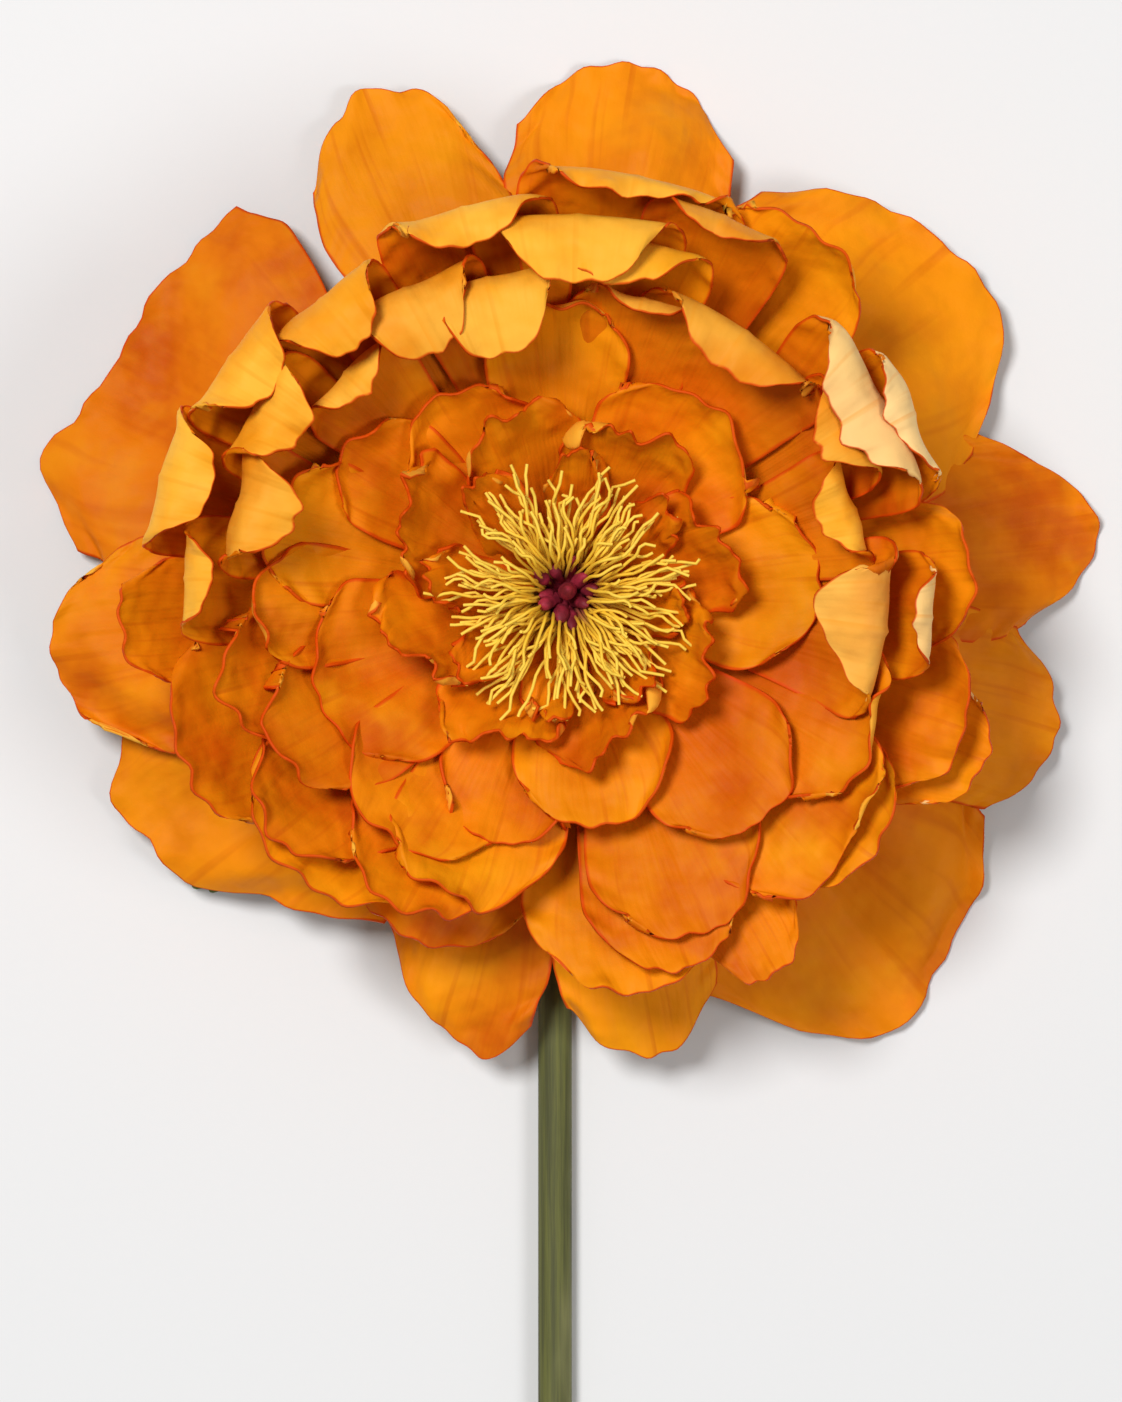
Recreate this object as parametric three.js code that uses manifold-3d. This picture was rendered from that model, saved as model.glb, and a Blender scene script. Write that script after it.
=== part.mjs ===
// A double peony with a cut stem, lying flower up on a table.
// Millimetres, +Z up. The stem runs towards -Y and the petals are laid out round the flower's own axis.
import * as THREE from "three";
import { mergeVertices } from "three/addons/utils/BufferGeometryUtils.js";
import Module from "manifold-3d";

const wasm = await Module();
wasm.setup();

// Driving dimensions
const flowerRadius = 104; // the reach of the longest guard petal
const petalThickness = 0.5;
const clawWidth = 4.4; // the narrow foot of every petal
const stemDiameter = 6.4;
const stemLength = 190; // from the flower's axis to the cut
const stemOffset = -1.9; // the stem leaves a little to one side
const neckRadius = 10.4; // the bend from the lying stem up to the flower
const neckHeight = neckRadius + stemDiameter / 2;
const coreRadius = 5.3; // the receptacle, a core that every petal is fixed to
const coreTop = 34.6;
const gap = 0.3; // between pieces that touch

const threadCount = 30;
const threadWidth = 1;
const threadSteps = 3;
const ringRadius = 3.5;
const tuftRadius = 22;
const goldenAngle = Math.PI * (3 - Math.sqrt(5));
const carpelCount = 6;

// The flower is a nest of shells. Each shell is a line of stations from the foot of a petal to its tip, as
// distance from the axis and height. "closed" curls in over the bowl, "open" spreads outwards. A petal lies
// on one shell or between two, so two petals on different levels never cross.
const shells = [
  { // 0: sepals
    closed: [[6, 14.8], [18, 16], [34, 15.2], [48, 12.7], [61, 9.7], [72, 6.5], [82, 3.8], [90, 1.8]],
  },
  { // 1: lower guard petals, whose tips rest on the table
    closed: [[6, 16.8], [28, 19.6], [52, 18], [70, 13.5], [82, 9], [91, 5], [98, 2], [104, 0.6]],
  },
  { // 2: upper guard petals
    closed: [[6, 18.6], [28, 22], [52, 21], [70, 17], [82, 13], [91, 9.6], [98, 7.2], [104, 5.5]],
  },
  { // 3: outer cup
    closed: [[6, 21.2], [28, 25], [49, 31], [66, 40.5], [75.5, 50], [79.5, 58.5], [77.5, 64.5], [71, 66]],
    open: [[6, 21.2], [25, 24.5], [44, 28], [59, 32], [69, 35.5], [77, 39], [83, 41.5], [89, 43.5]],
  },
  { // 4: outer curled row
    closed: [[5.9, 23.8], [24, 28.5], [43, 36], [59, 46.5], [68, 56], [71.5, 63.5], [66.5, 69], [57.5, 68.5]],
    open: [[5.9, 23.8], [22, 28], [39, 32.5], [52, 37], [61, 40.5], [68, 43.2], [74, 45], [79, 46]],
  },
  { // 5: inner curled row
    closed: [[5.6, 26.4], [20, 31], [36, 38.5], [49.5, 47], [57, 54], [60, 60], [55.5, 65], [44.5, 63.5]],
    open: [[5.6, 26.4], [19, 30.5], [33, 35.5], [45, 39.5], [53, 42.5], [59, 44.7], [64, 46.2], [69, 47.2]],
  },
  { // 6: open ring
    closed: [[5.3, 29], [15, 33], [28, 38], [38, 42.5], [44, 46], [47.5, 49.5], [48.5, 53], [46, 55.5]],
    open: [[5.3, 29], [15, 32.7], [26, 37], [36, 41], [43, 44], [48, 46], [52, 47.5], [55, 48]],
  },
  { // 7: outer crown
    closed: [[4.9, 31.6], [11, 34], [17, 36.6], [23, 40], [28, 44], [31.5, 48.5], [33.5, 52.8], [34.5, 57]],
    open: [[4.9, 31.6], [10, 33.8], [15, 36.4], [20, 39.8], [24, 43.4], [27, 47], [29, 50.4], [30, 53.6]],
  },
  { // 8: inner crown
    closed: [[4.6, 34], [8.5, 36.4], [13, 39.2], [17.5, 42.6], [21.5, 46.2], [24.6, 50], [26.6, 53.8], [27.6, 57.6]],
    open: [[4.6, 34], [8.5, 36.2], [12, 38.8], [16, 42], [19.5, 45.2], [22, 48.6], [23.6, 52], [24.6, 55.4]],
  },
];

// How far each shell is spread open, for every 30 degrees round the flower from +X
const openness = [
  [0, 0, 0, 0, 0, 0, 0, 0, 0, 0, 0, 0],
  [0, 0, 0, 0, 0, 0, 0, 0, 0, 0, 0, 0],
  [0, 0, 0, 0, 0, 0, 0, 0, 0, 0, 0, 0],
  [0.6, 0.5, 0.45, 0.1, 0, 0, 0.05, 0, 0.3, 0.9, 1, 0.8],
  [0.3, 0.1, 0, 0, 0, 0, 0, 0, 0.3, 0.9, 1, 0.6],
  [0, 0, 0, 0, 0, 0, 0, 0.05, 0.35, 0.9, 1, 0.55],
  [0.5, 0.1, 0, 0, 0, 0, 0.2, 0.7, 1, 1, 1, 0.9],
  [1, 0.7, 0.3, 0, 0, 0, 0.2, 0.6, 1, 1, 1, 1],
  [1, 0.7, 0.3, 0, 0, 0, 0.2, 0.6, 1, 1, 1, 1],
];

// The guard petals on both sides of the stem stay above it
const liftOverStem = 7;
const liftSpread = 24;

// Length of a petal across its tip, from its clockwise side to the other, as a share of its reach
const roundTip = [0.76, 0.92, 0.985, 1, 0.985, 0.92, 0.76];
const pointedTip = [0.62, 0.8, 0.94, 1, 0.93, 0.8, 0.62];

// Width of a petal from foot to tip, as a share of its greatest width
function spreadFor(flare) {
  return splineOf([[0, 0], [0.2, 0.22], [0.4, 0.54], [0.6, 0.84], [0.78, 1], [0.9, 0.97], [1, flare]]);
}

const plainFlare = 0.82;

// angle: where the petal points, in degrees from +X. shell: where it lies in the nest. reach: stations that
// it runs through. outline: its edge across the tip, as distance from the axis. wave: height of the ruffles
// at the edge. flare: width of the tip, as a share of the greatest width.
const guardPetals = [
  { angle: 82.5, width: 44, shell: 1, outline: [88, 97.5, 101, 101.5, 101, 98, 90], flare: 0.95 },
  { angle: 111.5, width: 37, shell: 1.6, outline: [86, 99, 100.8, 104, 100.5, 97, 91], flare: 0.9 },
  { angle: 151.8, width: 76, shell: 1, outline: [97, 96.5, 97.5, 96.5, 98.5, 103, 93], flare: 0.97 },
  { angle: 187, width: 41, shell: 2.1, outline: [88, 96, 99, 100, 99, 95.5, 86] },
  { angle: 217, width: 62, shell: 1.45, outline: [88, 95, 91, 90.5, 82, 76, 71], flare: 0.97 },
  { angle: 254, width: 34, shell: 1, outline: [71, 76, 80.5, 84, 87, 88.5, 82], flare: 0.95 },
  { angle: 281, width: 31, shell: 1.5, outline: [78, 84.5, 87, 88.6, 87, 84, 79], flare: 0.92 },
  { angle: 312, width: 67, shell: 1, outline: [80, 95, 103, 102.5, 99.5, 97, 90], flare: 0.95 },
  { angle: 344.5, width: 37, shell: 1.5, outline: [89, 95, 96, 97.5, 95, 92, 86], flare: 0.95 },
  { angle: 8.5, width: 41, shell: 1, outline: [88, 97, 101, 102, 99, 93, 85], flare: 0.92 },
  { angle: 42, width: 69, shell: 1.55, outline: [83, 95, 99.5, 98.5, 97.5, 92, 84], flare: 0.95 },
];

const cupPetals = [
  { angle: 80, width: 44, shell: 3.2, reach: 6.5, wave: 1 },
  { angle: 56, width: 36, shell: 2.95, reach: 6 },
  { angle: 31, width: 40, shell: 4.25, reach: 6.7 },
  { angle: 3, width: 28, shell: 3.5, reach: 5.6 },
  { angle: 341, width: 34, shell: 3.2, reach: 5.6 },
  { angle: 319, width: 34, shell: 3.75, reach: 6 },
  { angle: 282, width: 40, shell: 3.5, reach: 5.5, wave: 1 },
  { angle: 247, width: 46, shell: 2.75, reach: 3.5, wave: 1 },
  { angle: 226, width: 44, shell: 3.6, reach: 4.4, wave: 0.8 },
  { angle: 203, width: 44, shell: 3.05, reach: 4.4, wave: 0.8 },
];

const curlPetals = [
  { angle: 178, width: 24, shell: 4.15, reach: 6 },
  { angle: 164, width: 28, shell: 3.3, reach: 7 },
  { angle: 145, width: 28, shell: 3.55, reach: 6.8 },
  { angle: 130, width: 26, shell: 4.12, reach: 6.7 },
  { angle: 105, width: 34, shell: 3.8, reach: 6.4 },
  { angle: 88, width: 40, shell: 4.2, reach: 6.8 },
  { angle: 67, width: 28, shell: 3.5, reach: 6.4 },
];

const innerCurlPetals = [
  { angle: 165, width: 26, shell: 4.75, reach: 6.7 },
  { angle: 149, width: 26, shell: 4.45, reach: 6.6 },
  { angle: 135, width: 24, shell: 5.24, reach: 6.3 },
  { angle: 118, width: 30, shell: 4.75, reach: 6.8 },
  { angle: 104, width: 30, shell: 5.05, reach: 7 },
  { angle: 81, width: 36, shell: 4.5, reach: 6.4 },
  { angle: 55, width: 40, shell: 5.12, reach: 6.5 },
  { angle: 30, width: 24, shell: 4.85, reach: 6.4 },
  { angle: 16, width: 24, shell: 5.38, reach: 6.7 },
  { angle: 353, width: 34, shell: 5.05, reach: 7 },
];

const ringPetals = [
  { angle: 51, width: 36, shell: 6.3, reach: 5.6 },
  { angle: 3, width: 34, shell: 6.03, reach: 5 },
  { angle: 334, width: 34, shell: 4.8, reach: 6 },
  { angle: 317, width: 40, shell: 4.3, reach: 6.8 },
  { angle: 312, width: 32, shell: 5.65, reach: 6 },
  { angle: 280, width: 32, shell: 6.25, reach: 5.2 },
  { angle: 254, width: 28, shell: 5.8, reach: 4.5 },
  { angle: 204, width: 38, shell: 6.05, reach: 5.8 },
  { angle: 166, width: 28, shell: 5.5, reach: 5.6 },
  { angle: 146, width: 24, shell: 5.98, reach: 5.2 },
  { angle: 123, width: 28, shell: 6.3, reach: 5 },
  { angle: 92, width: 28, shell: 5.6, reach: 5.4 },
  { angle: 293, width: 34, shell: 4.58, reach: 6 },
  { angle: 288, width: 30, shell: 4.05, reach: 6 },
  { angle: 235, width: 36, shell: 5.33, reach: 4.9 },
];

// The two crowns are rings of petals that overlap like tiles
const crownPetalCount = 7;
const outerCrownPetal = { width: 25, shell: 7, reach: 6.2 };
const innerCrownPetal = { width: 17, shell: 8, reach: 5.6 };
const crownTilt = 0.25; // in shells, from one side of a crown petal to the other

const sepals = [
  { angle: 20, width: 16, shell: 0, reach: 2.2 },
  { angle: 92, width: 16, shell: 0, reach: 2.2 },
  { angle: 164, width: 16, shell: 0, reach: 2.4 },
  { angle: 218.5, width: 20, shell: 0, reach: 7, tip: pointedTip },
  { angle: 308, width: 16, shell: 0, reach: 2.4 },
];

// Facets, as steps across and along
const guardFacets = [6, 5];
const curledFacets = [6, 9];
const openFacets = [5, 9];
const crownFacets = [4, 3];
const sepalFacets = [4, 4];
const stemSides = 16;
const straightSteps = 6;
const bendSteps = 10;

function splineOf(points) {
  return new THREE.SplineCurve(points.map(([x, y]) => new THREE.Vector2(x, y)));
}

function valueAt(values, share) {
  return splineOf(values.map((value, index) => [index, value])).getPoint(share).y;
}

const lastStation = shells[0].closed.length - 1;

const shellCurves = shells.map(({ closed, open }) => ({
  closed: splineOf(closed),
  open: splineOf(open ?? closed),
}));

function opennessAt(shellIndex, angle) {
  const values = openness[shellIndex];
  const place = THREE.MathUtils.euclideanModulo(angle, 360) / 360 * values.length;
  const before = Math.floor(place) % values.length;
  const after = (before + 1) % values.length;
  return THREE.MathUtils.lerp(values[before], values[after], THREE.MathUtils.smoothstep(place % 1, 0, 1));
}

// Distance from the axis (x) and height (y) of a station on one shell, at an angle round the flower
function shellProfile(shellIndex, station, angle) {
  const { closed, open } = shellCurves[shellIndex];
  const share = station / lastStation;
  return closed.getPoint(share).lerp(open.getPoint(share), opennessAt(shellIndex, angle));
}

function nestProfile(shell, station, angle) {
  const below = Math.min(Math.floor(shell), shells.length - 2);
  const profile = shellProfile(below, station, angle);
  profile.lerp(shellProfile(below + 1, station, angle), shell - below);
  const isGuard = shell >= 1 && shell <= 2;
  if (isGuard) {
    const fromStem = (angle - 270) / liftSpread;
    profile.y += liftOverStem * Math.exp(-fromStem * fromStem) * (profile.x / flowerRadius);
  }
  return profile;
}

// The station of a shell at a distance from the axis, for the shells that only spread outwards
function stationAt(shell, distance) {
  let low = 0;
  let high = lastStation;
  for (let step = 0; step < 20; step++) {
    const middle = (low + high) / 2;
    if (nestProfile(shell, middle, 0).x < distance) low = middle;
    else high = middle;
  }
  return low;
}

// Stations from foot to tip along one line of a petal, which runs across from -1 to 1
function petalLength(petal, across) {
  const share = (across + 1) / 2;
  if (petal.outline) return stationAt(petal.shell, valueAt(petal.outline, share));
  return petal.reach * valueAt(petal.tip ?? roundTip, share);
}

// A point of a petal's middle surface: across runs -1 to 1, along runs 0 at the foot to 1 at the tip
function petalPoint(petal, across, along) {
  const station = along * petalLength(petal, across);
  const widening = spreadFor(petal.flare ?? plainFlare).getPoint(along).y;
  const halfWidth = (clawWidth + (petal.width - clawWidth) * widening) / 2;
  const radius = nestProfile(petal.shell, station, petal.angle).x;
  const angle = petal.angle + THREE.MathUtils.radToDeg(across * halfWidth / radius);
  const profile = nestProfile(petal.shell + (petal.tilt ?? 0) * across, station, angle);
  const ruffle = (petal.wave ?? 0) * along ** 3 * Math.sin(across * Math.PI * 1.5);
  const turn = THREE.MathUtils.degToRad(angle);
  return new THREE.Vector3(profile.x * Math.cos(turn), profile.x * Math.sin(turn), profile.y + ruffle);
}

function petalNormal(petal, across, along) {
  const step = 0.02;
  const side = petalPoint(petal, across + step, along).sub(petalPoint(petal, across - step, along));
  const outward = petalPoint(petal, across, along + step).sub(petalPoint(petal, across, along - step));
  return outward.cross(side).normalize().negate();
}

// The corners of a grid of facets in order round its edge, anticlockwise from above
function gridEdge(acrossSteps, alongSteps) {
  const row = acrossSteps + 1;
  const corners = [];
  for (let step = 0; step < alongSteps; step++) corners.push(step * row);
  for (let step = 0; step < acrossSteps; step++) corners.push(alongSteps * row + step);
  for (let step = alongSteps; step > 0; step--) corners.push(step * row + acrossSteps);
  for (let step = acrossSteps; step > 0; step--) corners.push(step);
  return corners;
}

// A thin closed sheet. Both of its faces have the same facets, so that they stay parallel.
function petalGeometry(petal, [acrossSteps, alongSteps]) {
  const plane = new THREE.PlaneGeometry(2, 1, acrossSteps, alongSteps);
  const count = plane.attributes.position.count;
  const vertices = new Float32Array(count * 6);
  for (let index = 0; index < count; index++) {
    const across = plane.attributes.position.getX(index);
    const along = plane.attributes.position.getY(index) + 0.5;
    const normal = petalNormal(petal, across * 0.98, THREE.MathUtils.clamp(along, 0.02, 0.98));
    const middle = petalPoint(petal, across, along);
    middle.clone().addScaledVector(normal, petalThickness / 2).toArray(vertices, index * 3);
    middle.addScaledVector(normal, -petalThickness / 2).toArray(vertices, (count + index) * 3);
  }
  const front = Array.from(plane.index.array);
  const back = front.map((corner) => corner + count).reverse();
  const edge = gridEdge(acrossSteps, alongSteps);
  const rim = edge.flatMap((corner, index) => {
    const next = edge[(index + 1) % edge.length];
    return [next, corner, corner + count, next, corner + count, next + count];
  });
  const geometry = new THREE.BufferGeometry();
  geometry.setAttribute("position", new THREE.BufferAttribute(vertices, 3));
  geometry.setIndex([...front, ...back, ...rim]);
  return geometry;
}

function solidOf(geometry) {
  const bare = new THREE.BufferGeometry();
  bare.setAttribute("position", geometry.attributes.position);
  bare.setIndex(geometry.index);
  const welded = mergeVertices(bare, 1e-4);
  const triVerts = welded.index ? Uint32Array.from(welded.index.array) : undefined;
  const vertProperties = Float32Array.from(welded.attributes.position.array);
  return new wasm.Manifold(new wasm.Mesh({ numProp: 3, vertProperties, triVerts }));
}

function geometryOf(solid) {
  const mesh = solid.getMesh();
  const geometry = new THREE.BufferGeometry();
  geometry.setAttribute("position", new THREE.BufferAttribute(mesh.vertProperties, 3));
  geometry.setIndex(new THREE.BufferAttribute(mesh.triVerts, 1));
  return geometry;
}

function joined(geometries) {
  const solids = geometries.map(solidOf);
  return geometryOf(solids.reduce((whole, solid) => whole.add(solid)));
}

// The stem lies along -Y, bends up under the flower and ends below the receptacle
function stemGeometry() {
  const radius = stemDiameter / 2;
  const steps = straightSteps + bendSteps;
  const geometry = new THREE.CylinderGeometry(radius, radius, 1, stemSides, steps);
  const position = geometry.attributes.position;
  for (let index = 0; index < position.count; index++) {
    const step = Math.round((position.getY(index) + 0.5) * steps);
    const turn = Math.max(0, step - straightSteps) / bendSteps * Math.PI / 2;
    const lying = Math.min(step, straightSteps) / straightSteps;
    const arm = neckRadius - position.getZ(index);
    const y = THREE.MathUtils.lerp(-stemLength, -neckRadius, lying) + arm * Math.sin(turn);
    const z = neckHeight - arm * Math.cos(turn);
    position.setXYZ(index, stemOffset + position.getX(index), y, z);
  }
  return geometry;
}

function latheOf(profile, segments) {
  const points = profile.map(([x, y]) => new THREE.Vector2(x, y));
  return new THREE.LatheGeometry(points, segments).rotateX(Math.PI / 2);
}

function receptacleGeometry() {
  const bottom = neckHeight + gap;
  return latheOf([[0, bottom], [2.6, bottom], [4.2, bottom + 0.9], [coreRadius, 18], [coreRadius, 26],
    [coreRadius - 1.2, coreTop], [0, coreTop]], 20);
}

// The sepals grow out of one thin collar under the petals
function calyxGeometry() {
  return joined([collarGeometry(0), ...sepals.map((sepal) => petalGeometry(sepal, sepalFacets))]);
}

// A thin collar under the feet of a ring of petals that are one piece
function collarGeometry(shell) {
  const inner = nestProfile(shell, 0, 0);
  const outer = nestProfile(shell, 0.3, 0);
  const half = petalThickness / 2;
  return latheOf([[inner.x, inner.y - half], [outer.x, outer.y - half], [outer.x, outer.y + half],
    [inner.x, inner.y + half], [inner.x, inner.y - half]], 24);
}

function crownGeometry(petal, firstAngle) {
  const petals = [collarGeometry(petal.shell)];
  for (let index = 0; index < crownPetalCount; index++) {
    const angle = firstAngle + index / crownPetalCount * 360;
    petals.push(petalGeometry({ ...petal, angle, tilt: crownTilt }, crownFacets));
  }
  return joined(petals);
}

// One wavy thread from the ring at the foot of the tuft out to its tip
function threadGeometry(index) {
  const turn = index * goldenAngle;
  const share = (index + 0.5) / threadCount;
  const tipRadius = THREE.MathUtils.lerp(10, tuftRadius, Math.sqrt(share));
  const tipHeight = THREE.MathUtils.lerp(53, 50, share);
  const sway = 0.09 * Math.sin(index * 2.1);
  const places = [[ringRadius, coreTop + 1.3, 0], [ringRadius + 2.5, coreTop + 5.5, 0],
    [tipRadius * 0.62, coreTop + 11.5, sway], [tipRadius, tipHeight, -sway]];
  const route = new THREE.CatmullRomCurve3(places.map(([radius, height, swing]) => (
    new THREE.Vector3(radius * Math.cos(turn + swing), radius * Math.sin(turn + swing), height)
  )));
  const section = new THREE.Shape(new THREE.EllipseCurve(0, 0, threadWidth / 2, threadWidth / 2).getPoints(3));
  return new THREE.ExtrudeGeometry(section, { steps: threadSteps, extrudePath: route, bevelEnabled: false });
}

function stamensGeometry() {
  const foot = coreTop + gap;
  const ring = latheOf([[2.6, foot], [4.4, foot], [4.4, foot + 2], [2.6, foot + 2], [2.6, foot]], 20);
  const threads = [];
  for (let index = 0; index < threadCount; index++) threads.push(threadGeometry(index));
  return joined([ring, ...threads]);
}

// A lumpy cluster: one tall lobe with others leaning round it on a shared foot
function carpelsGeometry() {
  const foot = coreTop + gap;
  const stalk = new THREE.CylinderGeometry(2.2, 2.1, 5, 12).rotateX(Math.PI / 2).translate(0, 0, foot + 2.5);
  const lobes = [new THREE.SphereGeometry(2.6, 10, 8).scale(1, 1, 1.7).translate(0, 0, foot + 7)];
  for (let index = 0; index < carpelCount; index++) {
    const lobe = new THREE.SphereGeometry(1.9, 8, 6).scale(1, 1, 1.8).translate(0, 0, 4.2);
    lobe.rotateY(0.42).rotateZ(index / carpelCount * 2 * Math.PI).translate(0, 0, foot + 2.6);
    lobes.push(lobe);
  }
  return joined([stalk, ...lobes]);
}

const petalColor = new THREE.Color(0.81, 0.34, 0.03);
const stemColor = new THREE.Color(0.13, 0.14, 0.04);
const sepalColor = new THREE.Color(0.16, 0.2, 0.05);
const threadColor = new THREE.Color(0.85, 0.62, 0.1);
const carpelColor = new THREE.Color(0.3, 0.02, 0.05);

function leafMaterial(color) {
  return new THREE.MeshStandardMaterial({ color, roughness: 0.62, metalness: 0, side: THREE.DoubleSide });
}

const flower = new THREE.Group();
flower.name = "peony_flower";

function addPiece(name, geometry, material) {
  const mesh = new THREE.Mesh(geometry, material);
  mesh.name = name;
  flower.add(mesh);
}

function addWhorl(name, petals, facets) {
  petals.forEach((petal, index) => {
    const number = String(index + 1).padStart(2, "0");
    addPiece(`${name}_${number}`, petalGeometry(petal, facets), leafMaterial(petalColor));
  });
}

addPiece("stem", stemGeometry(), leafMaterial(stemColor));
addPiece("receptacle", receptacleGeometry(), leafMaterial(sepalColor));
addPiece("calyx", calyxGeometry(), leafMaterial(sepalColor));
addWhorl("guard_petal", guardPetals, guardFacets);
addWhorl("cup_petal", cupPetals, curledFacets);
addWhorl("curl_petal", curlPetals, curledFacets);
addWhorl("inner_curl_petal", innerCurlPetals, curledFacets);
addWhorl("ring_petal", ringPetals, openFacets);
addPiece("outer_crown", crownGeometry(outerCrownPetal, 20), leafMaterial(petalColor));
addPiece("inner_crown", crownGeometry(innerCrownPetal, 45), leafMaterial(petalColor));
addPiece("stamens", stamensGeometry(), leafMaterial(threadColor));
addPiece("carpels", carpelsGeometry(), leafMaterial(carpelColor));

// The frame: middle of the whole object in plan, on the table
const bounds = new THREE.Box3().setFromObject(flower);
const middle = bounds.getCenter(new THREE.Vector3());
for (const mesh of flower.children) mesh.position.set(-middle.x, -middle.y, -bounds.min.z);

export default flower;
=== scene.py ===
# A double peony with a cut stem, lying flower up: petals, calyx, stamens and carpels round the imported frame.
import math

import bpy
import numpy as np
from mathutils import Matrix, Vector


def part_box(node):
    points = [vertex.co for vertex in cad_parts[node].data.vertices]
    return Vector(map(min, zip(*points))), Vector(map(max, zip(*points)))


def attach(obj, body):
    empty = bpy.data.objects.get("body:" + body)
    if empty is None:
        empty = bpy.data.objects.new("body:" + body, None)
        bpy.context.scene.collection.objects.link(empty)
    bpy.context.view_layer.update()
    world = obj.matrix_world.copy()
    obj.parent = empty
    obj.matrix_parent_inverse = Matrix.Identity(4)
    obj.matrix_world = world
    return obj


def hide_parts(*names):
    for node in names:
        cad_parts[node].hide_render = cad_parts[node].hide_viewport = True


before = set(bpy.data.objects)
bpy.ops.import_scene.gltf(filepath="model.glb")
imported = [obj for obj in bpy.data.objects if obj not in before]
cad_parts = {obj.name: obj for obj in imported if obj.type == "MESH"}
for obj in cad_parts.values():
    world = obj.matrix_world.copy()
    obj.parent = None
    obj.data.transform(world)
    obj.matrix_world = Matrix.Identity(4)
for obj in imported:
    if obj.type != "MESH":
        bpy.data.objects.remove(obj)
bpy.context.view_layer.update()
mm = 0.001

coreLow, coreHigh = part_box("receptacle")
axisX = (coreLow[0] + coreHigh[0]) / 2  # the flower's own axis
axisY = (coreLow[1] + coreHigh[1]) / 2


# Every petal lies on a shell, a line of stations from its foot to its tip given as distance from the
# flower's axis and height, in mm. A closed shell curls in over the bowl and an open one spreads outwards.
nest = [
    dict(  # 0: sepals
        closed=[(6, 14.8), (18, 16), (34, 15.2), (48, 12.7), (61, 9.7), (72, 6.5), (82, 3.8), (90, 1.8)],
        open=None,
        openness=[0]),
    dict(  # 1: lower guard petals
        closed=[(6, 16.8), (28, 19.6), (52, 18), (70, 13.5), (82, 9), (91, 5), (98, 2), (104, 0.6)],
        open=None,
        openness=[0]),
    dict(  # 2: upper guard petals
        closed=[(6, 18.6), (28, 22), (52, 21), (70, 17), (82, 13), (91, 9.6), (98, 7.2), (104, 5.5)],
        open=None,
        openness=[0]),
    dict(  # 3: outer cup
        closed=[(6, 21.2), (28, 25), (49, 31), (66, 40.5), (75.5, 50), (79.5, 58.5), (77.5, 64.5), (71, 66)],
        open=[(6, 21.2), (25, 24.5), (44, 28), (59, 32), (69, 35.5), (77, 39), (83, 41.5), (89, 43.5)],
        openness=[0.6, 0.5, 0.45, 0.1, 0, 0, 0.05, 0, 0.3, 0.9, 1, 0.8]),
    dict(  # 4: outer curled row
        closed=[(5.9, 23.8), (24, 28.5), (43, 36), (59, 46.5),
                (68, 56), (71.5, 63.5), (66.5, 69), (57.5, 68.5)],
        open=[(5.9, 23.8), (22, 28), (39, 32.5), (52, 37), (61, 40.5), (68, 43.2), (74, 45), (79, 46)],
        openness=[0.3, 0.1, 0, 0, 0, 0, 0, 0, 0.3, 0.9, 1, 0.6]),
    dict(  # 5: inner curled row
        closed=[(5.6, 26.4), (20, 31), (36, 38.5), (49.5, 47), (57, 54), (60, 60), (55.5, 65), (44.5, 63.5)],
        open=[(5.6, 26.4), (19, 30.5), (33, 35.5), (45, 39.5),
              (53, 42.5), (59, 44.7), (64, 46.2), (69, 47.2)],
        openness=[0, 0, 0, 0, 0, 0, 0, 0.05, 0.35, 0.9, 1, 0.55]),
    dict(  # 6: open ring
        closed=[(5.3, 29), (15, 33), (28, 38), (38, 42.5), (44, 46), (47.5, 49.5), (48.5, 53), (46, 55.5)],
        open=[(5.3, 29), (15, 32.7), (26, 37), (36, 41), (43, 44), (48, 46), (52, 47.5), (55, 48)],
        openness=[0.5, 0.1, 0, 0, 0, 0, 0.2, 0.7, 1, 1, 1, 0.9]),
    dict(  # 7: outer crown
        closed=[(4.9, 31.6), (11, 34), (17, 36.6), (23, 40),
                (28, 44), (31.5, 48.5), (33.5, 52.8), (34.5, 57)],
        open=[(4.9, 31.6), (10, 33.8), (15, 36.4), (20, 39.8), (24, 43.4), (27, 47), (29, 50.4), (30, 53.6)],
        openness=[1, 0.7, 0.3, 0, 0, 0, 0.2, 0.6, 1, 1, 1, 1]),
    dict(  # 8: inner crown
        closed=[(4.6, 34), (8.5, 36.4), (13, 39.2), (17.5, 42.6),
                (21.5, 46.2), (24.6, 50), (26.6, 53.8), (27.6, 57.6)],
        open=[(4.6, 34), (8.5, 36.2), (12, 38.8), (16, 42),
              (19.5, 45.2), (22, 48.6), (23.6, 52), (24.6, 55.4)],
        openness=[1, 0.7, 0.3, 0, 0, 0, 0.2, 0.6, 1, 1, 1, 1]),
]

shellLines = np.array([[shell["closed"], shell["open"] or shell["closed"]] for shell in nest], float)
lastStation = shellLines.shape[2] - 1
guardLift = dict(height=7, spread=24, reach=104)  # guard petals stay above the stem


def smoothStep(low, high, value):
    share = np.clip((value - low) / (high - low), 0, 1)
    return share * share * (3 - 2 * share)


# Catmull-Rom along rows of points, the spline that passes through every point
def splineAt(points, place):
    count = points.shape[-2]
    before = np.clip(np.floor(place).astype(int), 0, count - 2)
    share = (place - before)[..., None]
    p1 = points[..., before, :]
    p2 = points[..., before + 1, :]
    p0 = points[..., np.maximum(before - 1, 0), :]
    p3 = points[..., np.minimum(before + 2, count - 1), :]
    out = (p2 - p0) / 2
    into = (p3 - p1) / 2
    return ((2 * p1 - 2 * p2 + out + into) * share ** 3
            + (-3 * p1 + 3 * p2 - 2 * out - into) * share ** 2 + out * share + p1)


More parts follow.
